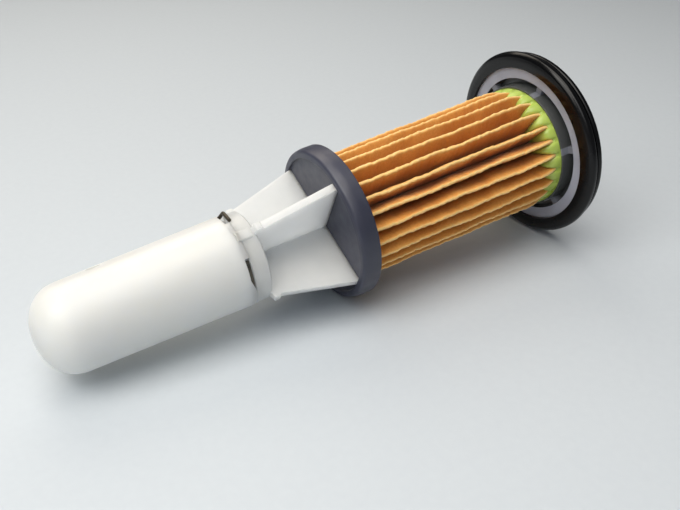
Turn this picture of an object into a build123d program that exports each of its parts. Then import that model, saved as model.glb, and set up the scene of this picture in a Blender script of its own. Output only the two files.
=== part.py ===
"""Insert fuel filter with a seal flange, a pleated paper pack, a finned cage and a domed sediment tube.

Frame: millimetres. The filter axis is X, with the origin on it at the mid-plane of the seal ring and +X
running towards the dome. +Z is up as the filter lies on its seal ring and its lower cap. Every piece is
turned about X, so a place is an axial distance x, a radius r and an angle from +Z towards +Y.
"""

import os
from math import atan2, cos, degrees, radians, sin

from build123d import *

# ---- driving dimensions ----
SEAL_R = 28.0  # crest of the larger seal ridge
SEAL_REAR_R = 27.0  # crest of the smaller, rear ridge
FLANGE_R = 24.8  # rim of the flange, inside the rubber
FLANGE_FRONT, FLANGE_BACK = 1.8, -1.2
PACK_R = 17.8  # crest of the pleats
PACK_CORE_R = 9.3  # inner fold of the pleats
PLEATS = 25
FIRST_PLEAT = 3.8  # degrees from +Z of one crest
PAPER = 0.5  # thickness of the resin-treated paper
CAP_R = 21.2  # lower cap
CAP_OPEN, CAP_FACE = 68.4, 73.7  # the cap's open edge and its raised front edge
CAP_CORNER = 1.9  # round of the front edge
FINS = 4
FIRST_FIN = 29.5
FIN_THICK = 2.0
FIN_STOP, FIN_STOP_R = 93.2, 13.45  # where the fins' straight edges end, and how far out they stand there
EAR_R = 14.0  # small ear on each fin's end
COLLAR_R = 12.0
COLLAR_BACK, SEAM = 95.0, 99.3  # the tube butts against the collar at the seam
TUBE_R, TUBE_END_R = 12.2, 11.3  # moulding draft makes the tube thinner at the dome
TIP = 151.1
TUBE_WALL = 1.35
DOME_LONG, DOME_POWER = 9.6, 2.2  # the closed end is a superellipse, blunter than a hemisphere
DOME_POINTS = 7  # of the spline through it
OUTLET_R = 6.5
CORE_R, CORE_WALL = 8.4, 1.0
WIRE = 1.0  # diameter of the retaining ring's spring wire

# ---- worked out from them ----
POCKET_FLOOR = FLANGE_FRONT - 1.6
POT_R = PACK_R + 0.1  # pot that the adhesive is poured into
POT_WALL_R, POT_TOP = POT_R + 0.5, 4.0
TROUGH_R, TROUGH_FLOOR = 20.3, FLANGE_BACK + 0.6
POT_FILL = 7.0  # how far the adhesive stands between the pleats
FLANGE_RIBS, FIRST_RIB, RIB_WIDE = 6, 14.0, 2.0
PAPER_START = POCKET_FLOOR + 0.8
CAP_FLOOR_BACK, CAP_FLOOR_FRONT = CAP_FACE - 2.7, CAP_FACE - 0.8
PAPER_STOP = CAP_FLOOR_BACK - 0.8
CAP_EDGE_R = CAP_R - CAP_CORNER - 0.4  # inner radius of the cap's raised front edge
FIN_EDGE_R = CAP_EDGE_R - 0.1
PLATE = 1.5  # thickness of the end plate with the drains
KEY_R, KEY_WIDE, KEY_ROUND = 12.75, 2.8, 0.35
DRAIN_INNER_R, DRAIN_R = 1.5, 8.4
NOTCH, NOTCH_SPAN = 1.2, (-37.0, -14.0)  # relief in the collar's front edge for the wire's end
SPIGOT_R, SPIGOT_LONG = 10.6, 8.5
BORE_R = SPIGOT_R + 0.08  # running fit on the spigot
COLLAR_BORE_R = 9.2
WIRE_X = SEAM + 0.65
WIRE_LINE_R = SPIGOT_R + WIRE / 2 + 0.1  # radius of the wire's centre line
RIM_RECESS_R = WIRE_LINE_R + WIRE / 2 + 0.1
RIM_RECESS = 1.3  # axial depth of the recess that the wire lies in


def direction(angle):
    """Y and Z of a unit vector at this angle from +Z towards +Y."""
    return sin(radians(angle)), cos(radians(angle))


def turned(*outline):
    """A solid turned about X from (x, r) corners."""
    with BuildSketch(Plane.XY) as section:
        with BuildLine():
            Polyline(*outline, close=True)
        make_face()
    return revolve(section.sketch, axis=Axis.X)


def spun(solid, angle):
    """The solid turned about X from +Z to this angle towards +Y."""
    return Rot(X=-angle) * solid


def block(x_low, x_high, r_low, r_high, width, angle):
    """A straight bar that stands out from the axis at this angle."""
    size = (x_high - x_low, width, r_high - r_low)
    middle = ((x_low + x_high) / 2, 0, (r_low + r_high) / 2)
    return spun(Pos(*middle) * Box(*size), angle)


def sector(x_low, x_high, radius, start, stop):
    """A slice of a disc between two angles, wide enough to cut with."""
    middle, half = (start + stop) / 2, (stop - start) / 2
    points = [(0, 0)]
    for step in (-1, -0.5, 0, 0.5, 1):
        y, z = direction(middle + step * half)
        points.append((radius * y, radius * z))
    face = Plane.YZ * make_face(Polyline(*points, close=True))
    return Pos(X=x_low) * extrude(face, amount=x_high - x_low, dir=(1, 0, 0))


# ---- seal ring ----
def seal_ring():
    """Rubber channel ring: two ridges outside, and two lips that grip both sides of the flange."""
    lip_r, lip = 23.6, 0.9
    front, back = FLANGE_FRONT + lip, FLANGE_BACK - lip
    rubber = turned(
        (front, lip_r), (front, 25.3), (2.3, 26.9), (1.3, SEAL_R), (0.3, SEAL_R),
        (-0.3, 26.3), (-0.7, 26.1), (-1.1, 26.2), (-1.5, SEAL_REAR_R), (-2.3, SEAL_REAR_R),
        (-3.1, 26.0), (back - 1.0, 25.0), (back, 24.0), (back, lip_r),
    )
    groove = turned((FLANGE_BACK, 20), (FLANGE_FRONT, 20), (FLANGE_FRONT, FLANGE_R), (FLANGE_BACK, FLANGE_R))
    return rubber - groove


# ---- upper cap ----
def upper_cap():
    """Flange moulding: adhesive pot, a moulded-out trough with ribs across it, and the outlet."""
    plate = turned((FLANGE_BACK, 0), (FLANGE_FRONT, 0), (FLANGE_FRONT, FLANGE_R), (FLANGE_BACK, FLANGE_R))
    boss_back, boss_r = FLANGE_BACK - 2.8, 9.5
    outlet_boss = turned((boss_back, 0), (FLANGE_BACK, 0), (FLANGE_BACK, boss_r), (boss_back, boss_r))
    wall = turned((POCKET_FLOOR, POT_R), (POT_TOP, POT_R), (POT_TOP, POT_WALL_R), (POCKET_FLOOR, POT_WALL_R))
    trough = turned(
        (TROUGH_FLOOR, POT_WALL_R), (FLANGE_FRONT, POT_WALL_R),
        (FLANGE_FRONT, TROUGH_R), (TROUGH_FLOOR, TROUGH_R),
    )
    for i in range(FLANGE_RIBS):
        trough -= block(TROUGH_FLOOR, FLANGE_FRONT, 10, 30, RIB_WIDE, FIRST_RIB + i * 360 / FLANGE_RIBS)
    pot = turned((POCKET_FLOOR, 0), (FLANGE_FRONT, 0), (FLANGE_FRONT, POT_R), (POCKET_FLOOR, POT_R))
    outlet = turned((-20, 0), (20, 0), (20, OUTLET_R), (-20, OUTLET_R))
    return plate + outlet_boss - trough - pot - outlet + wall


# ---- paper pack ----
def pleat_outline():
    """Y, Z corners of the pack's outside: a narrow flat crest and a tighter valley for each pleat."""
    crest_half, valley_half, valley_r = 0.62, 0.12, PACK_CORE_R + PAPER
    corners = []
    for i in range(PLEATS):
        for angle, r, half in (
            (FIRST_PLEAT + i * 360 / PLEATS, PACK_R, crest_half),
            (FIRST_PLEAT + (i + 0.5) * 360 / PLEATS, valley_r, valley_half),
        ):
            for side in (-half, half):
                y, z = direction(angle + degrees(atan2(side, r)))
                corners.append((r * y, r * z))
    return corners


def filter_paper():
    """One folded sheet, closed into a tube of radial pleats."""
    outside = make_face(Polyline(*pleat_outline(), close=True))
    inside = offset(outside, amount=-PAPER, kind=Kind.INTERSECTION)
    ring = Plane.YZ * (outside - inside)
    return Pos(X=PAPER_START) * extrude(ring, amount=PAPER_STOP - PAPER_START, dir=(1, 0, 0))


def paper_envelope():
    """The pack's outside as a solid bar, to trim the side-seam glue."""
    outside = Plane.YZ * make_face(Polyline(*pleat_outline(), close=True))
    return Pos(X=PAPER_START) * extrude(outside, amount=PAPER_STOP - PAPER_START, dir=(1, 0, 0))


def side_seam():
    """Bead of glue in the valley where the sheet's two ends meet."""
    angle = FIRST_PLEAT - 2.5 * 360 / PLEATS
    bead = block(POT_FILL + 1, CAP_OPEN - 1, PACK_CORE_R + 0.7, PACK_CORE_R + 2.4, 1.6, angle)
    return bead - paper_envelope()


def bond(x_low, x_high, x_fill, paper):
    """Adhesive disc from x_low to x_high, filled between the pleats as far as x_fill."""
    full = turned((x_low, CORE_R), (x_high, CORE_R), (x_high, POT_R), (x_low, POT_R))
    low, high = min(x_high, x_fill), max(x_low, x_fill)
    between = turned((low, CORE_R), (high, CORE_R), (high, PACK_R - 0.9), (low, PACK_R - 0.9))
    return full + between - paper


# ---- core tube ----
def core_tube():
    """Perforated tube that holds the pleats against the fuel pressure."""
    start, stop = POCKET_FLOOR, CAP_FLOOR_BACK
    inner = CORE_R - CORE_WALL
    tube = turned((start, inner), (stop, inner), (stop, CORE_R), (start, CORE_R))
    rows, around, hole = 8, 3, 3.2
    first, pitch = start + 8, (stop - start - 16) / (rows - 1)
    for row in range(rows):
        for i in range(around):
            angle = i * 180 / around + (row % 2) * 90 / around
            drill = Pos(X=first + row * pitch) * Cylinder(hole / 2, 3 * CORE_R)
            tube -= spun(drill, angle)
    return tube


# ---- lower cap ----
def lower_cap():
    """Cup that closes the pack's far end, with a raised and rounded front edge."""
    inner = CAP_R - 1.8
    edge = []
    for angle in (0, 22.5, 45, 67.5, 90):
        out, along = direction(angle)
        edge.append((CAP_FACE - CAP_CORNER + CAP_CORNER * out, CAP_R - CAP_CORNER + CAP_CORNER * along))
    return turned(
        (CAP_OPEN, inner), (CAP_OPEN, CAP_R - 0.2), (CAP_OPEN + 0.3, CAP_R), *edge,
        (CAP_FACE, CAP_EDGE_R), (CAP_FLOOR_FRONT, CAP_EDGE_R), (CAP_FLOOR_FRONT, 0),
        (CAP_FLOOR_BACK, 0), (CAP_FLOOR_BACK, inner),
    )


# ---- finned cage ----
def fin_plate():
    """Two opposite fins as one plate in the XZ plane, from the cap's face down to an ear at the collar."""
    edge = [(CAP_FLOOR_FRONT, FIN_EDGE_R), (CAP_FACE, FIN_EDGE_R), (FIN_STOP, FIN_STOP_R)]
    edge += [(FIN_STOP + 0.4, EAR_R), (FIN_STOP + 1.9, EAR_R), (FIN_STOP + 2.6, COLLAR_R - 0.2)]
    with BuildSketch(Plane.XZ) as side:
        with BuildLine():
            Polyline(*edge, *[(x, -r) for x, r in reversed(edge)], close=True)
        make_face()
    return extrude(side.sketch, amount=FIN_THICK / 2, both=True)


def key(x_low, x_high, r_low):
    """Small lug with rounded long edges, in line with the first fin."""
    bar = block(x_low, x_high, r_low, KEY_R, KEY_WIDE, 0)
    bar = fillet(bar.edges().filter_by(Axis.X).sort_by(Axis.Z)[-2:], KEY_ROUND)
    return spun(bar, FIRST_FIN)


def fin_cage():
    """Cross of fins, end plate with a drain between each pair, collar with its key, and the spigot."""
    plate_end, spigot_end = COLLAR_BACK + PLATE, SEAM + SPIGOT_LONG
    collar = turned(
        (COLLAR_BACK, 0), (COLLAR_BACK, COLLAR_R - 0.4), (COLLAR_BACK + 0.4, COLLAR_R), (SEAM, COLLAR_R),
        (SEAM, SPIGOT_R), (spigot_end - 1, SPIGOT_R), (spigot_end, SPIGOT_R - 0.6), (spigot_end, 0),
    )
    notch = sector(SEAM - NOTCH, SEAM, 16, *NOTCH_SPAN)
    notch -= turned((COLLAR_BACK, 0), (SEAM, 0), (SEAM, SPIGOT_R), (COLLAR_BACK, SPIGOT_R))
    bore = turned((plate_end, 0), (plate_end, COLLAR_BORE_R), (spigot_end, COLLAR_BORE_R), (spigot_end, 0))
    drains = turned(
        (COLLAR_BACK, DRAIN_INNER_R), (plate_end, DRAIN_INNER_R), (plate_end, DRAIN_R), (COLLAR_BACK, DRAIN_R)
    )
    cross = None
    for i in range(FINS // 2):
        angle = FIRST_FIN + i * 360 / FINS
        plate = spun(fin_plate(), angle)
        cross = plate if cross is None else cross + plate
        drains -= block(COLLAR_BACK, plate_end, -10, 10, FIN_THICK, angle)
    keys = key(COLLAR_BACK + 1.4, SEAM, COLLAR_R - 0.6) + key(SEAM, SEAM + 0.9, TUBE_R + 0.15)
    return cross + (collar - drains - notch) + keys - bore


# ---- retaining ring ----
UPPER_END, UPPER_CREST, UPPER_BEND = 3.0, -16.5, -32.0
LOWER_END, LOWER_BEND = 60.0, 84.0
CREST_LIFT, CREST_BACK = 1.75, 1.1  # the upper end comes up and leans back over the collar
END_LIFT, END_BACK = 1.38, 0.85
LOWER_LIFT = 0.4  # how far the lower end stands out from the circle
UPPER_WINDOW, LOWER_WINDOW = (-37.0, 5.0), (57.0, 94.0)  # where the tube's rim is cut back for them


def on_ring(angle, lift=0.0, back=0.0):
    """A point of the wire's centre line."""
    y, z = direction(angle)
    r = WIRE_LINE_R + lift
    return Vector(WIRE_X - back, r * y, r * z)


def wire_run(start, stop):
    """A straight length of wire with a rounded start, which fills the corner of a bend."""
    along = stop - start
    corner = Pos(start) * Sphere(WIRE / 2)
    return corner + extrude(Plane(start, z_dir=along) * Circle(WIRE / 2), amount=along.length)


def retaining_ring():
    """Open ring of spring wire with two straight ends. The upper one stands proud of the tube's rim."""
    turn = UPPER_BEND + 360 - LOWER_BEND
    section = Plane.XY * Pos(WIRE_X, WIRE_LINE_R) * Circle(WIRE / 2)
    arc = spun(revolve(section, axis=Axis.X, revolution_arc=turn), UPPER_BEND - 90)
    crest = on_ring(UPPER_CREST, CREST_LIFT, CREST_BACK)
    upper = wire_run(on_ring(UPPER_BEND), crest) + wire_run(crest, on_ring(UPPER_END, END_LIFT, END_BACK))
    return arc + upper + wire_run(on_ring(LOWER_BEND), on_ring(LOWER_END, LOWER_LIFT))


# ---- sediment tube ----
def dome_profile(long, r, tip):
    """Meridian of the closed end, from its tip to its shoulder: a spline through points of a superellipse."""
    points = []
    for i in range(DOME_POINTS):
        turn = radians(90 * i / (DOME_POINTS - 1))
        x = tip - long + long * cos(turn) ** (2 / DOME_POWER)
        points.append((x, r * sin(turn) ** (2 / DOME_POWER)))
    return Spline(*points, tangents=[(0, 1), (-1, 0)])


def sediment_tube():
    """Domed tube that slips over the spigot, with a recess and two windows for the ring at its rim."""
    with BuildSketch(Plane.XY) as section:
        with BuildLine():
            outer = dome_profile(DOME_LONG, TUBE_END_R, TIP)
            inner = dome_profile(DOME_LONG - TUBE_WALL / 2, TUBE_END_R - TUBE_WALL, TIP - TUBE_WALL)
            spigot_end = SEAM + SPIGOT_LONG
            Polyline(outer @ 1, (SEAM, TUBE_R), (SEAM, BORE_R), (spigot_end, BORE_R), inner @ 1)
            Line(outer @ 0, inner @ 0)
        make_face()
    tube = revolve(section.sketch, axis=Axis.X)
    tube -= turned((SEAM, 0), (SEAM + RIM_RECESS, 0), (SEAM + RIM_RECESS, RIM_RECESS_R), (SEAM, RIM_RECESS_R))
    for start, stop in (UPPER_WINDOW, LOWER_WINDOW):
        tube -= sector(SEAM, SEAM + RIM_RECESS, 16, start, stop)
    return tube


paper_pack = filter_paper()
PARTS = {
    "seal_ring": seal_ring(),
    "upper_cap": upper_cap(),
    "upper_bond": bond(POCKET_FLOOR, POT_TOP, POT_FILL, paper_pack),
    "filter_paper": paper_pack,
    "side_seam_glue": side_seam(),
    "core_tube": core_tube(),
    "lower_bond": bond(CAP_OPEN + 1.0, CAP_FLOOR_BACK, CAP_OPEN + 0.4, paper_pack),
    "lower_cap": lower_cap(),
    "fin_cage": fin_cage(),
    "retaining_ring": retaining_ring(),
    "sediment_tube": sediment_tube(),
}

os.makedirs("parts", exist_ok=True)
for name, solid in PARTS.items():
    export_step(solid, f"parts/{name}.step")
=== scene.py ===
import math

import bmesh
import bpy
import numpy as np
from mathutils import Matrix, Vector


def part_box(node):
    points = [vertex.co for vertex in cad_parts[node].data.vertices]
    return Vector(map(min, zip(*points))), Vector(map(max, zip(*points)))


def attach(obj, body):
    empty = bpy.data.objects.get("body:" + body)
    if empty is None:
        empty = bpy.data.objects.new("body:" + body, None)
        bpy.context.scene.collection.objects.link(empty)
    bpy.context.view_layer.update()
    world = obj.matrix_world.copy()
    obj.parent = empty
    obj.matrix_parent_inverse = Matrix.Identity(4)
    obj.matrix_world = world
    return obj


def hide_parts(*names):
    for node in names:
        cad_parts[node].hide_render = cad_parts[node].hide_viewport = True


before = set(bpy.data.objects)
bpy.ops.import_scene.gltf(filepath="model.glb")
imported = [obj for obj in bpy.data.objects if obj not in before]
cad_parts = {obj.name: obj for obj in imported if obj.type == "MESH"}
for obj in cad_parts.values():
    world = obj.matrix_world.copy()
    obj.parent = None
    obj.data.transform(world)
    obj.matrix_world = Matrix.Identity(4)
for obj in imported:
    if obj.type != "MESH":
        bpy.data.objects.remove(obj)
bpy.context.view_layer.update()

# Insert fuel filter. Shapes are worked out in millimetres in the CAD frame: the filter's axis is X, and a
# place is an axial distance x, a radius r and an angle from +Z towards +Y. make_piece turns them to metres.

MM = 0.001
rng = np.random.default_rng(7)


def span(node):
    """Lowest x, highest x and largest radius of a CAD node, in millimetres."""
    low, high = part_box(node)
    radius = max(abs(v) for v in (low.y, low.z, high.y, high.z))
    return low.x / MM, high.x / MM, radius / MM


# ---- sizes, from the frame and from what the pieces are ----
SEAL_BACK, SEAL_FRONT, SEAL_R = span("seal_ring")
FLANGE_BACK, _, _ = span("upper_cap")
PAPER_START, PAPER_STOP, PACK_R = span("filter_paper")
CAP_OPEN, CAP_FACE, CAP_R = span("lower_cap")
SEAM, TIP, TUBE_R = span("sediment_tube")
PLEATS = 25
FIRST_PLEAT = 3.8  # degrees
SEAL_LIP_R = 23.6


# ---- mesh tools ----
def around(x, r, angle):
    """Points at axial distance x, radius r and angle in degrees from +Z towards +Y. Arrays broadcast."""
    turn = np.radians(angle)
    return np.stack(np.broadcast_arrays(x, r * np.sin(turn), r * np.cos(turn)), -1)


def grid_faces(rows, columns, wrap_rows=True):
    """Quads between neighbours on a grid of points. Each row closes on itself, and so may the columns."""
    i = np.arange(rows if wrap_rows else rows - 1)[:, None]
    j = np.arange(columns)[None, :]
    below, right = (i + 1) % rows, (j + 1) % columns
    corners = (i * columns + j, i * columns + right, below * columns + right, below * columns + j)
    return np.stack(corners, -1).reshape(-1, 4)


def make_piece(name, points, faces, material, body, nodes, sharp=32, attribute=None):
    """A closed mesh in metres: coincident points merge, faces turn outwards and steep edges stay sharp."""
    mesh = bpy.data.meshes.new(name)
    flat = np.asarray(points, float).reshape(-1, 3) * MM
    mesh.from_pydata(flat, [], faces)
    if attribute is not None:
        key, values = attribute
        store = mesh.attributes.new(key, "FLOAT", "POINT")
        store.data.foreach_set("value", np.ravel(values).astype(np.float32))
    bm = bmesh.new()
    bm.from_mesh(mesh)
    bmesh.ops.remove_doubles(bm, verts=bm.verts, dist=1e-7)
    bmesh.ops.recalc_face_normals(bm, faces=bm.faces)
    bm.to_mesh(mesh)
    bm.free()
    mesh.shade_smooth()
    mesh.set_sharp_from_angle(angle=math.radians(sharp))
    piece = bpy.data.objects.new(name, mesh)
    bpy.context.collection.objects.link(piece)
    mesh.materials.append(material)
    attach(piece, body)
    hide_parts(*nodes)
    return piece


def rounded(corners, radius, steps=5):
    """Closed outline whose corners give way to parabolas that leave each side at the corner's radius.

    Each corner P between A and B becomes (1-u)^2 A' + 2u(1-u) P + u^2 B', with A' and B' on the sides.
    A holding point stands a little before A' and after B', so that flat sides stay flat in the shading."""
    p = np.asarray(corners, float)
    reach = np.broadcast_to(np.asarray(radius, float), len(p))[:, None]
    before, after = np.roll(p, 1, 0) - p, np.roll(p, -1, 0) - p
    long_before = np.linalg.norm(before, axis=1, keepdims=True)
    long_after = np.linalg.norm(after, axis=1, keepdims=True)
    cut = np.minimum(reach, 0.4 * np.minimum(long_before, long_after))
    a, b = p + before / long_before * cut, p + after / long_after * cut
    hold_a, hold_b = p + before / long_before * cut * 1.15, p + after / long_after * cut * 1.15
    u = np.linspace(0, 1, steps)[None, :, None]
    curve = (1 - u) ** 2 * a[:, None] + 2 * u * (1 - u) * p[:, None] + u**2 * b[:, None]
    return np.concatenate([hold_a[:, None], curve, hold_b[:, None]], 1).reshape(-1, 2)


def turned(outline, turns=240):
    """Grid of points of a closed (x, r) outline carried round the axis."""
    angles = np.arange(turns) * 360 / turns
    return around(outline[:, :1], outline[:, 1:], angles[None, :])


def smooth_noise(x, waves, count):
    """count rows of sums of sines of x with random phases: waves is a list of (length, height)."""
    total = np.zeros((count, np.size(x)))
    for length, height in waves:
        stretch = rng.uniform(0.8, 1.25, (count, 1))
        phase = rng.uniform(0, 2 * np.pi, (count, 1))
        total += height * np.sin(2 * np.pi * np.ravel(x)[None, :] / (length * stretch) + phase)
    return total


# ---- material tools ----
def colour(code):
    """Linear RGBA of an sRGB hex colour."""
    s = np.array([int(code[i : i + 2], 16) for i in (0, 2, 4)]) / 255
    linear = np.where(s <= 0.04045, s / 12.92, ((s + 0.055) / 1.055) ** 2.4)
    return (*linear.tolist(), 1.0)


def feed(tree, node, inputs):
    """Links each socket of inputs to the node's input of that name or number, and sets each plain value."""
    for key, value in inputs.items():
        if isinstance(value, bpy.types.NodeSocket):
            tree.links.new(value, node.inputs[key])
        else:
            node.inputs[key].default_value = value


def add(tree, kind, inputs, out=0, **settings):
    """Adds one shader node with its settings and links, and returns its output of that name or number."""
    node = tree.nodes.new("ShaderNode" + kind)
    for key, value in settings.items():
        setattr(node, key, value)
    feed(tree, node, inputs)
    return node.outputs[out]


def lumps(size_mm):
    """Scale of a noise whose lumps are about size_mm across."""
    return 0.5 / (size_mm * MM)


def new_material(name, inputs):
    """A material with one Principled shader: returns it, its tree, the shader and the Object coordinates."""
    material = bpy.data.materials.new(name)
    material.use_nodes = True
    tree = material.node_tree
    shader = tree.nodes["Principled BSDF"]
    feed(tree, shader, inputs)
    return material, tree, shader, add(tree, "TexCoord", {}, "Object")


# The Mix node's sockets for colours share their names with its other kinds, so they go by number.
FACTOR, FIRST, SECOND, MIXED = 0, 6, 7, 2
SOFT = {"Detail": 3.0, "Roughness": 0.55}  # a noise with rounded lumps
PLAIN = {"Detail": 2.0, "Roughness": 0.55}
BUSY = {"Detail": 4.0, "Roughness": 0.55}
PATCHES = {"From Min": 0.35, "From Max": 0.7}  # the part of a noise's range that its lumps fill
MIDDLE = {"From Min": 0.3, "From Max": 0.7}


# ---- materials ----
def nitrile_rubber():
    """Moulded nitrile: near black with a wet-looking skin, faint bloom in patches."""
    m, t, s, place = new_material("nitrile_rubber", {"Specular IOR Level": 0.3, "IOR": 1.5})
    bloom = add(t, "TexNoise", {"Vector": place, "Scale": lumps(9), **SOFT})
    grain = add(t, "TexNoise", {"Vector": place, "Scale": lumps(0.35), **PLAIN})
    dusty = add(t, "MapRange", {"Value": bloom, "From Min": 0.4, "From Max": 0.7})
    tone = {FACTOR: dusty, FIRST: colour("050506"), SECOND: colour("0a0a0c")}
    base = add(t, "Mix", tone, MIXED, data_type="RGBA")
    rough = add(t, "MapRange", {"Value": bloom, **PATCHES, "To Min": 0.19, "To Max": 0.3})
    normal = add(t, "Bump", {"Height": grain, "Strength": 1.0, "Distance": 0.01 * MM})
    feed(t, s, {"Base Color": base, "Roughness": rough, "Normal": normal})
    return m


def flange_nylon():
    """Moulded nylon, tinted lavender grey, a little translucent, with a satin skin and faint flow marks;
    painted shade darkens its trough.
    """
    m, t, s, place = new_material("flange_nylon", {
        "IOR": 1.53, "Subsurface Weight": 0.35, "Subsurface Scale": 0.0012,
        "Subsurface Radius": (1.0, 0.95, 1.1),
    })
    cloud = add(t, "TexNoise", {"Vector": place, "Scale": lumps(11), **SOFT})
    flow = add(t, "TexNoise", {"Vector": place, "Scale": lumps(2.2), **BUSY})
    patch = add(t, "MapRange", {"Value": cloud, **PATCHES})
    tone = {FACTOR: patch, FIRST: colour("a2a5b4"), SECOND: colour("adb0be")}
    base = add(t, "Mix", tone, MIXED, data_type="RGBA")
    streak = add(t, "MapRange", {"Value": flow, "From Min": 0.45, "From Max": 0.75, "To Max": 0.35})
    streaked = {FACTOR: streak, FIRST: base, SECOND: colour("8f93a3")}
    base = add(t, "Mix", streaked, MIXED, data_type="RGBA")
    # painted shade: the trough's walls and floor are darkened towards a dark grey, a little less on the ribs
    trough_shade = add(t, "Attribute", {}, "Fac", attribute_name="trough")
    trough_shade_mix = {FACTOR: trough_shade, FIRST: base, SECOND: colour("4a4c4c")}
    base = add(t, "Mix", trough_shade_mix, MIXED, data_type="RGBA")
    rough = add(t, "MapRange", {"Value": flow, **MIDDLE, "To Min": 0.3, "To Max": 0.44})
    normal = add(t, "Bump", {"Height": flow, "Strength": 1.0, "Distance": 0.02 * MM})
    feed(t, s, {"Base Color": base, "Roughness": rough, "Normal": normal})
    return m


def slate_nylon():
    """Moulded nylon, tinted slate, satin; thin edges pass a little light."""
    m, t, s, place = new_material("slate_nylon", {
        "IOR": 1.53, "Subsurface Weight": 0.25, "Subsurface Scale": 0.001,
        "Subsurface Radius": (1.0, 1.0, 1.25),
    })
    cloud = add(t, "TexNoise", {"Vector": place, "Scale": lumps(8), **SOFT})
    flow = add(t, "TexNoise", {"Vector": place, "Scale": lumps(1.4), **BUSY})
    patch = add(t, "MapRange", {"Value": cloud, **PATCHES})
    tone = {FACTOR: patch, FIRST: colour("353746"), SECOND: colour("3d3f4f")}
    base = add(t, "Mix", tone, MIXED, data_type="RGBA")
    streak = add(t, "MapRange", {"Value": flow, "From Min": 0.5, "From Max": 0.8, "To Max": 0.4})
    streaked = {FACTOR: streak, FIRST: base, SECOND: colour("353746")}
    base = add(t, "Mix", streaked, MIXED, data_type="RGBA")
    rough = add(t, "MapRange", {"Value": flow, **MIDDLE, "To Min": 0.32, "To Max": 0.46})
    normal = add(t, "Bump", {"Height": flow, "Strength": 1.0, "Distance": 0.02 * MM})
    feed(t, s, {"Base Color": base, "Roughness": rough, "Normal": normal})
    return m


def milky_polypropylene():
    """Natural polypropylene, injection moulded: milky, lets light through its thin fins, satin gloss."""
    m, t, s, place = new_material("milky_polypropylene", {
        "IOR": 1.49, "Subsurface Weight": 0.9, "Subsurface Scale": 0.012,
        "Subsurface Radius": (1.0, 1.05, 1.15),
    })
    cloud = add(t, "TexNoise", {"Vector": place, "Scale": lumps(7), **SOFT})
    grain = add(t, "TexNoise", {"Vector": place, "Scale": lumps(0.6), **SOFT})
    patch = add(t, "MapRange", {"Value": cloud, **PATCHES})
    tone = {FACTOR: patch, FIRST: colour("d2d6d8"), SECOND: colour("dcdfdf")}
    base = add(t, "Mix", tone, MIXED, data_type="RGBA")
    rough = add(t, "MapRange", {"Value": cloud, **MIDDLE, "To Min": 0.28, "To Max": 0.4})
    normal = add(t, "Bump", {"Height": grain, "Strength": 1.0, "Distance": 0.008 * MM})
    feed(t, s, {"Base Color": base, "Roughness": rough, "Normal": normal})
    return m


def cream_polypropylene():
    """Natural polypropylene, blow-smooth and glossy: creamy white with a soft depth under the skin."""
    m, t, s, place = new_material("cream_polypropylene", {
        "IOR": 1.49, "Subsurface Weight": 0.75, "Subsurface Scale": 0.006,
        "Subsurface Radius": (1.1, 1.0, 0.85),
    })
    cloud = add(t, "TexNoise", {"Vector": place, "Scale": lumps(14), **SOFT})
    grain = add(t, "TexNoise", {"Vector": place, "Scale": lumps(1.8), **PLAIN})
    patch = add(t, "MapRange", {"Value": cloud, **PATCHES})
    tone = {FACTOR: patch, FIRST: colour("f7f3e6"), SECOND: colour("faf7ee")}
    base = add(t, "Mix", tone, MIXED, data_type="RGBA")
    rough = add(t, "MapRange", {"Value": cloud, **MIDDLE, "To Min": 0.27, "To Max": 0.36})
    normal = add(t, "Bump", {"Height": grain, "Strength": 1.0, "Distance": 0.006 * MM})
    feed(t, s, {"Base Color": base, "Roughness": rough, "Normal": normal})
    return m


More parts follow.
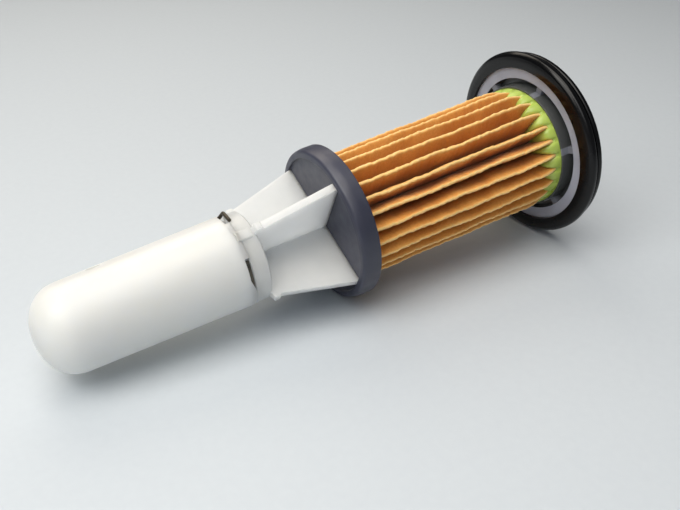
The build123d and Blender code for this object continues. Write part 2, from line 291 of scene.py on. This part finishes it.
def pleated_paper():
    """Phenolic-resin filter paper: orange tan, creped across the sheet, fibrous; the folds are paler, from
    thinner resin and painted light, and the valleys darker, from resin and painted shade.
    """
    m, t, s, place = new_material("pleated_paper", {
        "IOR": 1.5, "Specular IOR Level": 0.35, "Sheen Weight": 0.12,
        "Subsurface Weight": 0.12, "Subsurface Scale": 0.0006, "Subsurface Radius": (1.0, 0.6, 0.3),
    })
    depth = add(t, "Attribute", {}, "Fac", attribute_name="depth")
    fibres = add(t, "TexNoise", {"Vector": place, "Scale": lumps(0.28), "Detail": 4.0, "Roughness": 0.7})
    resin = add(t, "TexNoise", {"Vector": place, "Scale": lumps(5.5), **SOFT})
    # crepe ripples run round the pack, about 0.6 mm apart along the axis
    drawn = add(t, "Mapping", {"Vector": place, "Scale": (1.0, 0.35, 0.35)})
    crepe = add(t, "TexNoise", {"Vector": drawn, "Scale": lumps(0.55), **PLAIN})
    soaked = add(t, "MapRange", {"Value": resin, "From Min": 0.35, "From Max": 0.68})
    tone = {FACTOR: soaked, FIRST: colour("e09a48"), SECOND: colour("eaab58")}
    flank = add(t, "Mix", tone, MIXED, data_type="RGBA")
    thread = add(t, "MapRange", {"Value": fibres, "From Min": 0.42, "From Max": 0.75, "To Max": 0.45})
    threaded = {FACTOR: thread, FIRST: flank, SECOND: colour("bd772e")}
    flank = add(t, "Mix", threaded, MIXED, data_type="RGBA")
    # painted light: the crests' colours are paler than the flanks', partly from thinner resin; fibre noise
    # mottles them
    crest_mottle = add(t, "MapRange", {"Value": fibres, "From Min": 0.4, "From Max": 0.7})
    pale_crest = {FACTOR: crest_mottle, FIRST: colour("f7cb7c"), SECOND: colour("fbdb9c")}
    top = add(t, "Mix", pale_crest, MIXED, data_type="RGBA")
    # the valleys darker, from resin gathered there and painted shade; the crests paler, from thinner resin
    # and painted light
    deep = add(t, "MapRange", {"Value": depth, "From Min": 0.3, "From Max": 1.0, "To Max": 0.7})
    valley_resin_and_shade = {FACTOR: deep, FIRST: flank, SECOND: colour("84491a")}
    flank = add(t, "Mix", valley_resin_and_shade, MIXED, data_type="RGBA")
    below = add(t, "MapRange", {"Value": depth, "From Min": 0.02, "From Max": 0.26})
    base = add(t, "Mix", {FACTOR: below, FIRST: top, SECOND: flank}, MIXED, data_type="RGBA")
    rough = add(t, "MapRange", {"Value": fibres, **MIDDLE, "To Min": 0.55, "To Max": 0.75})
    fluff = add(t, "MapRange", {"Value": fibres, "To Max": 0.5})
    height = add(t, "Math", {0: crepe, 1: fluff}, operation="ADD")
    normal = add(t, "Bump", {"Height": height, "Strength": 1.0, "Distance": 0.14 * MM})
    feed(t, s, {"Base Color": base, "Roughness": rough, "Normal": normal})
    return m


def cast_urethane():
    """Poured polyurethane adhesive: light green, skinned smooth as it cured, soft shine, tiny bubbles."""
    m, t, s, place = new_material("cast_urethane", {
        "IOR": 1.5, "Subsurface Weight": 0.35, "Subsurface Scale": 0.0015,
        "Subsurface Radius": (0.9, 1.0, 0.45),
    })
    cloud = add(t, "TexNoise", {"Vector": place, "Scale": lumps(4), **SOFT})
    bubbles = add(t, "TexVoronoi", {"Vector": place, "Scale": 0.7 / MM})
    patch = add(t, "MapRange", {"Value": cloud, **PATCHES})
    tone = {FACTOR: patch, FIRST: colour("a3b94e"), SECOND: colour("b7ca68")}
    base = add(t, "Mix", tone, MIXED, data_type="RGBA")
    pit = add(t, "MapRange", {"Value": bubbles, "From Max": 0.12, "To Min": 0.5, "To Max": 0.0})
    pitted = {FACTOR: pit, FIRST: base, SECOND: colour("7d9434")}
    base = add(t, "Mix", pitted, MIXED, data_type="RGBA")
    rough = add(t, "MapRange", {"Value": cloud, **MIDDLE, "To Min": 0.24, "To Max": 0.38})
    skin = add(t, "MapRange", {"Value": bubbles, "From Max": 0.12})
    normal = add(t, "Bump", {"Height": skin, "Strength": 1.0, "Distance": 0.03 * MM})
    feed(t, s, {"Base Color": base, "Roughness": rough, "Normal": normal})
    return m


def seam_glue():
    """Hot-melt glue: pale amber, glossy bead."""
    inputs = {"IOR": 1.48, "Subsurface Weight": 0.3, "Subsurface Scale": 0.001}
    m, t, s, place = new_material("seam_glue", inputs)
    cloud = add(t, "TexNoise", {"Vector": place, "Scale": lumps(2), **SOFT})
    tone = {FACTOR: cloud, FIRST: colour("c9b67c"), SECOND: colour("dccb98")}
    base = add(t, "Mix", tone, MIXED, data_type="RGBA")
    rough = add(t, "MapRange", {"Value": cloud, **MIDDLE, "To Min": 0.2, "To Max": 0.35})
    normal = add(t, "Bump", {"Height": cloud, "Strength": 1.0, "Distance": 0.05 * MM})
    feed(t, s, {"Base Color": base, "Roughness": rough, "Normal": normal})
    return m


def core_polypropylene():
    """Moulded polypropylene, undyed and matt, for the inside tube."""
    inputs = {"IOR": 1.49, "Subsurface Weight": 0.3, "Subsurface Scale": 0.001}
    m, t, s, place = new_material("core_polypropylene", inputs)
    cloud = add(t, "TexNoise", {"Vector": place, "Scale": lumps(3), **SOFT})
    tone = {FACTOR: cloud, FIRST: colour("cfd0cb"), SECOND: colour("dededa")}
    base = add(t, "Mix", tone, MIXED, data_type="RGBA")
    rough = add(t, "MapRange", {"Value": cloud, **MIDDLE, "To Min": 0.4, "To Max": 0.55})
    normal = add(t, "Bump", {"Height": cloud, "Strength": 1.0, "Distance": 0.02 * MM})
    feed(t, s, {"Base Color": base, "Roughness": rough, "Normal": normal})
    return m


def spring_wire():
    """Drawn spring steel: dull grey-brown, with fine marks from drawing and a darker oxide in patches."""
    m, t, s, place = new_material("spring_wire", {"Metallic": 1.0})
    oxide = add(t, "TexNoise", {"Vector": place, "Scale": lumps(1.5), **BUSY})
    marks = add(t, "TexNoise", {"Vector": place, "Scale": lumps(0.12), **PLAIN})
    patch = add(t, "MapRange", {"Value": oxide, "From Min": 0.4, "From Max": 0.65})
    tone = {FACTOR: patch, FIRST: colour("6d675c"), SECOND: colour("4a463f")}
    base = add(t, "Mix", tone, MIXED, data_type="RGBA")
    rough = add(t, "MapRange", {"Value": marks, **MIDDLE, "To Min": 0.28, "To Max": 0.45})
    normal = add(t, "Bump", {"Height": marks, "Strength": 1.0, "Distance": 0.006 * MM})
    feed(t, s, {"Base Color": base, "Roughness": rough, "Normal": normal})
    return m


RUBBER = nitrile_rubber()
FLANGE = flange_nylon()
SLATE = slate_nylon()
MILKY = milky_polypropylene()
CREAM = cream_polypropylene()
PAPER = pleated_paper()
URETHANE = cast_urethane()
GLUE = seam_glue()
CORE = core_polypropylene()
STEEL = spring_wire()


# ---- seal ring ----
def seal_ring():
    """Rubber channel ring: a section with two rounded ridges outside and a lip each side of the flange."""
    f, r = SEAL_FRONT, SEAL_R
    corners = [
        (1.75, SEAL_LIP_R), (f, SEAL_LIP_R), (f, 25.6), (2.3, 27.2), (1.5, r), (0.2, r), (-0.35, 26.2),
        (-0.9, 26.2), (-1.3, 27.1), (-2.4, 27.1), (-3.1, 26.0), (SEAL_BACK, SEAL_LIP_R), (-1.15, SEAL_LIP_R),
        (-1.15, 24.85), (1.75, 24.85),
    ]
    reach = [0.1, 0.25, 0.6, 0.7, 0.75, 0.75, 0.35, 0.35, 0.6, 0.6, 0.8, 0.25, 0.1, 0.1, 0.1]
    points = turned(rounded(corners, reach, 7), 288)
    return make_piece("seal_ring_moulding", points, grid_faces(*points.shape[:2]), RUBBER, "element",
                      ["seal_ring"], sharp=50)


# ---- flange ----
def flange():
    """Flange section carried round the axis. The trough's floor rises nearly to the front face at each rib,
    over a short ramp, so its depth is a function of the angle."""
    pot_floor, trough_floor, front, back, pot_top = 0.2, -0.6, 1.8, -1.2, 4.0
    pot_r, wall_r, trough_r, bore_r, boss_r, rim_r = 17.9, 18.4, 20.3, 6.5, 9.5, 24.8
    rib_count, first_rib, rib_r, rib_half, ramp = 6, 14.0, 19.2, 1.0, 0.2
    rib_top = front - 0.12
    corners = [
        (pot_floor, bore_r), (pot_floor, pot_r), (pot_top, pot_r), (pot_top, wall_r),
        (trough_floor, wall_r + 0.1), (trough_floor, trough_r - 0.1), (front, trough_r),
        (front, rim_r), (back, rim_r), (back, boss_r + 0.3),
        (FLANGE_BACK, boss_r), (FLANGE_BACK, bore_r),
    ]
    reach = [0.1, 0.2, 0.12, 0.12, 0.2, 0.2, 0.2, 0.3, 0.3, 0.6, 0.4, 0.3]
    outline = rounded(corners, reach, 4)
    turns = 900
    angles = np.arange(turns) * 360 / turns
    x, r = outline[:, :1], outline[:, 1:]
    pitch = 360 / rib_count
    off = np.abs((angles - first_rib + pitch / 2) % pitch - pitch / 2)[None, :]
    sideways = np.radians(off) * rib_r
    rib = 1 - np.clip((sideways - rib_half) / ramp, 0, 1)
    in_trough = ((r > pot_r + 0.3) & (r < trough_r + 0.02) & (x < rib_top)).astype(float)
    # painted shade: marks the trough's walls and floor for darkening in the material, a little less on the
    # ribs
    shaded = ((r > pot_r - 0.3) & (r < trough_r + 0.02) & (x > trough_floor - 0.3)).astype(float)
    lifted = x + rib * in_trough * (rib_top - x)
    points = around(np.maximum(x, lifted), r, angles[None, :])
    return make_piece("flange_moulding", points, grid_faces(*points.shape[:2]), FLANGE, "element",
                      ["upper_cap"], attribute=("trough", shaded * (1 - 0.35 * rib)))


# ---- adhesive at the flange ----
def flange_adhesive():
    """Poured adhesive: a flat skin in the pot, and a round bead standing in each valley.

    With q from 0 near a crest to 1 in a valley, a bead's swell is (1 - (1-q)^2.6)^0.6 there, and its meridian
    is a quarter superellipse from the pot's wall to the core. Crests stay clear of it."""
    turns = PLEATS * 32
    core_r, lip_r, pot_floor, skin_x = 9.6, 17.85, 0.35, 3.9
    flat_r, flat_height, bead_out, bead_height = 17.35, 2.1, 0.5, 2.6
    angles = np.arange(turns) * 360 / turns
    pitch = 360 / PLEATS
    q = np.abs(((angles - FIRST_PLEAT) / pitch) % 1 - 0.5) * 2
    q = np.clip((1 - q) * 1.25 - 0.25, 0, 1)
    swell = (1 - (1 - q) ** 2.6) ** 0.6
    uneven = 1 + smooth_noise(angles, [(51, 0.08), (19, 0.09)], 1)
    t = np.linspace(0, np.pi / 2, 20)[:, None]
    edge_r = flat_r + bead_out * swell
    height = (flat_height + bead_height * swell) * uneven
    x = skin_x + height * np.sin(t) ** 0.8
    r = core_r + (edge_r - core_r) * np.cos(t) ** 0.4
    lip = np.full((1, turns), lip_r)
    x = np.concatenate([np.full((1, turns), skin_x - 0.1), x, np.full((2, turns), pot_floor)])
    r = np.concatenate([lip, r, np.full((1, turns), core_r), lip])
    points = around(x, r, angles[None, :])
    return make_piece("flange_adhesive", points, grid_faces(*points.shape[:2]), URETHANE, "element",
                      ["upper_bond"], sharp=60)


# ---- pleated paper ----
def pleat_points(x, inset, waves):
    """Points of the folded sheet at axial places x, inset from its outer face.

    In each pleat, w is the distance across it and r the distance out. A round crest of half-width c joins
    two straight flanks that meet the next pleats at the valley. Crest and flanks wander along x by smooth
    noise. The second array is the depth: 0 on a crest and 1 in a valley."""
    c, valley_r, arc_share = 0.52, 9.9, 0.25
    half_pitch = np.radians(180 / PLEATS)
    half = np.array([0, 0.07, 0.14, 0.22, 0.3, 0.48, 0.66, 0.84])
    across = np.concatenate([[-1], -half[:0:-1], half])
    side, depth = np.sign(across), np.abs(across)
    turned_over = np.radians(82)  # how far the crest turns before the flank leaves it
    crest_angle = np.minimum(depth / arc_share, 1) * turned_over
    along = np.clip((depth - arc_share) / (1 - arc_share), 0, 1)
    grown = c - inset
    w_edge, r_edge = grown * np.sin(turned_over), PACK_R - c + grown * np.cos(turned_over)
    w_valley = (valley_r - 1.1 * inset) * np.sin(half_pitch)
    r_valley = (valley_r - 1.1 * inset) * np.cos(half_pitch)
    w = np.where(along > 0, w_edge + (w_valley - w_edge) * along, grown * np.sin(crest_angle)) * side
    r = np.where(along > 0, r_edge + (r_valley - r_edge) * along, PACK_R - c + grown * np.cos(crest_angle))
    # shape (x, pleat, place across)
    x = x[:, None, None]
    free = np.clip((x - PAPER_START - 5) / 7, 0, 1) * np.clip((PAPER_STOP - 2 - x) / 6, 0, 1)
    free = free * free * (3 - 2 * free)
    held = (1 - depth)[None, None, :]
    sway, swell, thick, bow = (wave.T[:, :, None] for wave in waves)
    lateral = free * (held * sway + 0.3 * np.sin(np.pi * along) * side * bow)
    flare = 0.55 - 1.1 * (x - PAPER_START) / (PAPER_STOP - PAPER_START)
    w = w * (1 + free * 0.14 * thick * held) + lateral
    pinch = np.clip((11 - x) / 6, 0, 1) ** 2
    r = r + held * (flare - 1.4 * pinch + free * swell)
    turn = np.radians(FIRST_PLEAT + np.arange(PLEATS) * 360 / PLEATS)[None, :, None]
    y = r * np.sin(turn) + w * np.cos(turn)
    z = r * np.cos(turn) - w * np.sin(turn)
    points = np.stack(np.broadcast_arrays(x, y, z), -1)
    depths = np.broadcast_to(depth, points.shape[:3])
    return points.reshape(len(points), -1, 3), depths.reshape(len(points), -1)


def paper_pack():
    """The outer and the inner face of the sheet as one closed grid: rows run out along x and back inside."""
    fine = np.linspace(PAPER_START, PAPER_STOP, 170)
    sway = smooth_noise(fine, [(38, 0.18), (13, 0.09), (5.5, 0.07), (2.6, 0.06), (1.3, 0.035)], PLEATS)
    swell = smooth_noise(fine, [(28, 0.1), (11, 0.06), (3.4, 0.07), (1.6, 0.06)], PLEATS)
    thick = smooth_noise(fine, [(9, 0.6), (3.1, 0.5)], PLEATS)
    bow = smooth_noise(fine, [(22, 0.7), (8, 0.3)], PLEATS)
    waves = [sway, swell, thick, bow]
    outside, depth = pleat_points(fine, 0.0, waves)
    every = np.unique(np.round(np.linspace(0, len(fine) - 1, 38)).astype(int))[::-1]
    inside, inner_depth = pleat_points(fine[every], 0.5, [wave[:, every] for wave in waves])
    points = np.concatenate([outside, inside])
    marks = np.concatenate([depth, inner_depth])
    return make_piece("paper_pleats", points, grid_faces(*points.shape[:2]), PAPER, "element",
                      ["filter_paper"], sharp=70, attribute=("depth", marks))


# ---- lower cap ----
def end_cup():
    """Cup section carried round the axis, with soft moulded corners on its raised front edge."""
    edge_r, inner, recess, floor = CAP_R - 2.3, CAP_R - 1.8, 0.8, 1.9
    floor_front = CAP_FACE - recess
    corners = [
        (CAP_OPEN, inner), (CAP_OPEN, CAP_R), (CAP_FACE - 2.2, CAP_R), (CAP_FACE - 0.2, CAP_R - 0.4),
        (CAP_FACE, edge_r), (floor_front, edge_r - 0.05), (floor_front, 0), (floor_front - floor, 0),
        (floor_front - floor, inner),
    ]
    outline = rounded(corners, [0.2, 0.25, 0.9, 1.0, 0.3, 0.25, 0, 0, 0.4], 7)
    points = turned(outline, 256)
    return make_piece("end_cup", points, grid_faces(*points.shape[:2]), SLATE, "element",
                      ["lower_cap"], sharp=40)


# ---- finned cage ----
def finned_cage():
    """The CAD cage with its triangles joined, so that round faces shade smoothly and edges stay crisp."""
    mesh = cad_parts["fin_cage"].data
    places = np.zeros(len(mesh.vertices) * 3)
    mesh.vertices.foreach_get("co", places)
    corners = np.zeros(len(mesh.loops), int)
    mesh.loops.foreach_get("vertex_index", corners)
    points, joined = np.unique(np.round(places.reshape(-1, 3), 7), axis=0, return_inverse=True)
    faces = np.ravel(joined)[corners].reshape(-1, 3)
    whole = (faces[:, 0] != faces[:, 1]) & (faces[:, 1] != faces[:, 2]) & (faces[:, 0] != faces[:, 2])
    return make_piece("finned_cage", points / MM, faces[whole], MILKY, "element", ["fin_cage"],
                      sharp=25)


# ---- retaining ring ----
def wire_ring():
    """Spring wire: a circle of radius 0.5 mm carried along a line of an arc and three straight runs.

    At each place one direction of the circle is the run crossed with the axis, and the other squares with
    that one and the run."""
    wire_x, line_r, half = SEAM + 0.65, 11.2, 0.5
    lower_end, lower_bend, upper_bend, upper_crest, upper_end = 60.0, 84.0, 328.0, 343.5, 363.0
    lower_lift, crest_lift, end_lift, crest_back, end_back = 0.4, 1.75, 1.38, 1.1, 0.85
    angle = np.concatenate([[lower_end], np.linspace(lower_bend, upper_bend, 90), [upper_crest, upper_end]])
    r = line_r + np.concatenate([[lower_lift], np.zeros(90), [crest_lift, end_lift]])
    x = wire_x - np.concatenate([np.zeros(91), [crest_back, end_back]])
    corners = around(x, r, angle)
    steps = np.linspace(0, len(corners) - 1, 900)
    path = np.stack([np.interp(steps, np.arange(len(corners)), corners[:, k]) for k in range(3)], -1)
    run = np.gradient(path, axis=0)
    run /= np.linalg.norm(run, axis=1, keepdims=True)
    outward = np.cross(run, [1.0, 0.0, 0.0])
    outward /= np.linalg.norm(outward, axis=1, keepdims=True)
    sideways = np.cross(outward, run)
    place = np.clip(np.arange(-2, len(path) + 2), 0, len(path) - 1)
    radius = np.full(len(place), half)
    radius[[0, -1]], radius[[1, -2]] = 0.0, 0.8 * half
    turn = np.linspace(0, 2 * np.pi, 17)[:-1]
    circle = outward[place][:, None] * np.cos(turn)[None, :, None]
    circle = circle + sideways[place][:, None] * np.sin(turn)[None, :, None]
    points = path[place][:, None] + radius[:, None, None] * circle
    faces = grid_faces(*points.shape[:2], wrap_rows=False)
    return make_piece("spring_wire_ring", points, faces, STEEL, "element", ["retaining_ring"],
                      sharp=50)


# ---- sediment tube ----
WINDOWS = ((-37.0, 5.0, 5.0), (57.0, 84.0, 103.0))  # degrees: start, end of the full depth, end of the taper


def domed_tube():
    """Outer and inner wall as one closed outline carried round the axis. The outer meridian is a straight
    draft, then a quarter superellipse. The rim steps back by the window depth from a window's start to its
    full angle, and the step shrinks evenly to nothing at the window's stop."""
    dome_long, dome_r, power, wall = 9.6, TUBE_R - 0.9, 2.2, 1.35
    u = np.linspace(0, np.pi / 2, 30)

    def dome(long, r, tip):
        """From the pole to the shoulder."""
        return np.stack([tip - long + long * np.cos(u) ** (2 / power), r * np.sin(u) ** (2 / power)], -1)

    outer = dome(dome_long, dome_r, TIP)
    inner = dome(dome_long - 0.6, dome_r - wall, TIP - wall)[::-1]
    rim_depth, recess_r, bore_r = 1.3, 11.8, 10.7
    share = np.linspace(0, 1, 14)[1:, None]
    straight = outer[-1] + (np.array([SEAM + 0.35, TUBE_R]) - outer[-1]) * share
    recess = SEAM + rim_depth
    corners = [(recess, bore_r), (recess, recess_r), (SEAM, recess_r), (SEAM, TUBE_R)]
    rim = rounded(corners, [0.1, 0.1, 0.12, 0.15], 4)
    rim = rim[::-1][2:-2]
    bore_start = np.array([SEAM + 3.0, bore_r])
    bore = bore_start + (inner[0] - bore_start) * np.linspace(0, 1, 8)[:-1, None]
    outline = np.concatenate([outer, straight, rim, bore, inner])
    edges = [[start - 0.2, start, full, stop, stop + 0.2] for start, full, stop in WINDOWS]
    angles = np.concatenate([np.arange(256) * 360 / 256, *edges])
    angles = np.unique(np.round(angles % 360, 3))
    cut = np.zeros(len(angles))
    for start, full, stop in WINDOWS:
        past = (angles - start) % 360
        share = np.clip((stop - start - past) / max(stop - full, 0.1), 0, 1)
        cut = np.maximum(cut, (past <= stop - start) * share * rim_depth)
    x, r = outline[:, :1], outline[:, 1:]
    moves = np.clip((recess - x) / rim_depth, 0, 1)
    points = around(x + moves * cut[None, :], r, angles[None, :])
    return make_piece("domed_tube", points, grid_faces(*points.shape[:2], wrap_rows=False), CREAM, "tube",
                      ["sediment_tube"])


seal_ring()
flange()
flange_adhesive()
paper_pack()
end_cup()
finned_cage()
wire_ring()
domed_tube()

for node, material in (("core_tube", CORE), ("lower_bond", URETHANE), ("side_seam_glue", GLUE)):
    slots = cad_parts[node].material_slots
    for place in slots:
        place.material = material


# ---- floor, lights and camera ----
def floor_plane():
    """Pale floor that touches the seal ring and the lower cap, so it leans a few degrees from the axis."""
    cap_middle, ring_middle = CAP_FACE - 1.0, 0.8
    lean = math.atan2(SEAL_R - CAP_R, cap_middle - ring_middle)
    normal = Vector((-math.sin(lean), 0, math.cos(lean)))
    drop = SEAL_R / math.cos(lean)
    middle = Vector((ring_middle, 0, -drop)) * MM - normal * 0.0004
    reach = 6.0
    mesh = bpy.data.meshes.new("floor")
    corners = [(-reach, -reach, 0), (reach, -reach, 0), (reach, reach, 0), (-reach, reach, 0)]
    mesh.from_pydata(corners, [], [(0, 1, 2, 3)])
    floor = bpy.data.objects.new("floor", mesh)
    bpy.context.collection.objects.link(floor)
    floor.matrix_world = Matrix.Translation(middle) @ Matrix.Rotation(-lean, 4, "Y")
    m, t, s, place = new_material("pale_floor", {"Roughness": 0.6, "Specular IOR Level": 0.3})
    speck = add(t, "TexNoise", {"Vector": place, "Scale": lumps(1.2), **SOFT})
    tone = {FACTOR: speck, FIRST: colour("c3cad1"), SECOND: colour("c8cfd5")}
    feed(t, s, {"Base Color": add(t, "Mix", tone, MIXED, data_type="RGBA")})
    mesh.materials.append(m)
    return normal


def area_light(name, place_mm, aim_mm, size_mm, watts, tint):
    """Rectangular area light that faces a point."""
    data = bpy.data.lights.new(name, "AREA")
    data.shape = "RECTANGLE"
    data.size, data.size_y = (v * MM for v in size_mm)
    data.energy = watts
    data.color = colour(tint)[:3]
    light = bpy.data.objects.new(name, data)
    bpy.context.collection.objects.link(light)
    light.location = Vector(place_mm) * MM
    light.rotation_euler = (Vector(aim_mm) - Vector(place_mm)).to_track_quat("-Z", "Y").to_euler()


up = floor_plane()
area_light("ceiling", (150, 30, 620), (90, 0, 0), (560, 560), 3.4, "fffaf2")
area_light("window", (0, -400, 400), (70, 0, 0), (380, 300), 1.0, "fff4e4")
area_light("left_key", (430, 40, 430), (90, 0, 0), (320, 320), 1.1, "fffdf8")
area_light("near_fill", (230, 360, 430), (80, 0, 0), (340, 300), 0.7, "fdfdff")

world = bpy.data.worlds.new("studio")
bpy.context.scene.world = world
world.use_nodes = True
world.node_tree.nodes["Background"].inputs["Color"].default_value = colour("e2e8f0")
world.node_tree.nodes["Background"].inputs["Strength"].default_value = 0.12

CAMERA_AZIMUTH, CAMERA_ELEVATION = 151.33, 35.04
CAMERA_PLACE = (156.5, 160.4, 116.5)
a, e = math.radians(CAMERA_AZIMUTH), math.radians(CAMERA_ELEVATION)
back = Vector((math.sin(a) * math.cos(e), -math.cos(a) * math.cos(e), math.sin(e)))
right = up.cross(back).normalized()
over = back.cross(right)
camera = bpy.data.objects.new("camera", bpy.data.cameras.new("camera"))
bpy.context.collection.objects.link(camera)
turned_to_view = Matrix((right, over, back)).transposed().to_4x4()
camera.matrix_world = Matrix.Translation(Vector(CAMERA_PLACE) * MM) @ turned_to_view
camera.data.lens, camera.data.sensor_width = 42.35, 36.0
camera.data.clip_start = 0.005
bpy.context.scene.camera = camera

bpy.context.scene.view_settings.view_transform = "Standard"
bpy.context.scene.view_settings.look = "None"
